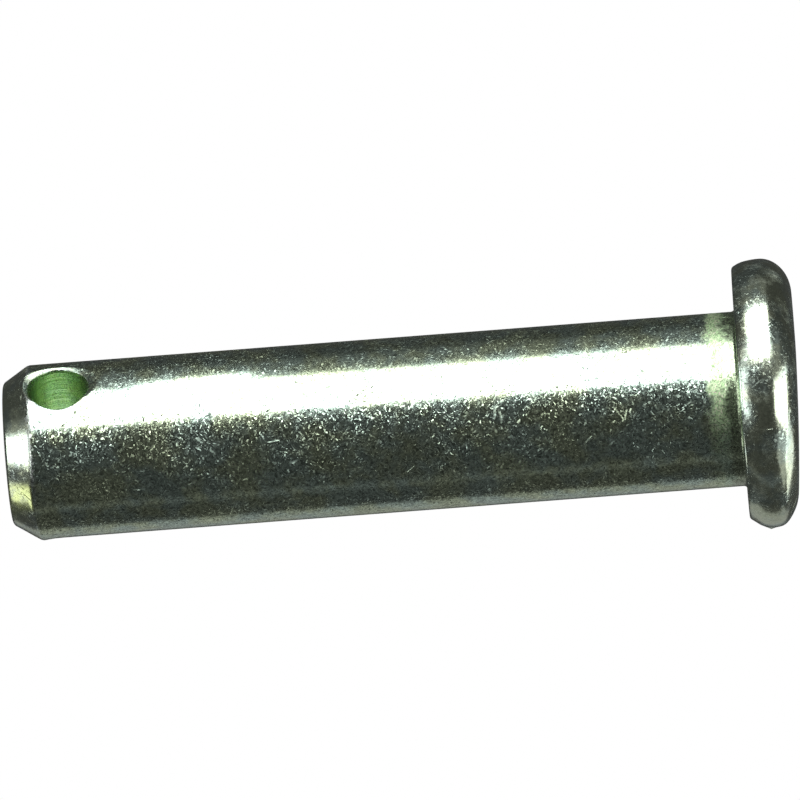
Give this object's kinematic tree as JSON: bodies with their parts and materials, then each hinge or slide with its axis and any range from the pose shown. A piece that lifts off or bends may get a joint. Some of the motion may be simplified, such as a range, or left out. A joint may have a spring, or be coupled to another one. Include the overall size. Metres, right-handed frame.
{
  "type": "headed clevis pin",
  "caption": "Round-headed steel clevis pin with a plain shank, a chamfered point and a countersunk cross hole for a cotter pin.",
  "frame": {"origin": "on the pin's axis, where the head's flat bearing face crosses it", "axes": "+Z along the shank from the head to the point, so the pin stands on its head; +Y and -Y along the cross hole; +X completes a right-handed frame"},
  "size_m": [0.0098, 0.0096, 0.0286],
  "materials": {
    "zinc_plated_steel": "bright zinc plating with a faint yellow-green chromate sheen, finely scuffed"
  },
  "bodies": {
    "root": {"headed_pin": "zinc_plated_steel"}
  },
  "joints": []
}
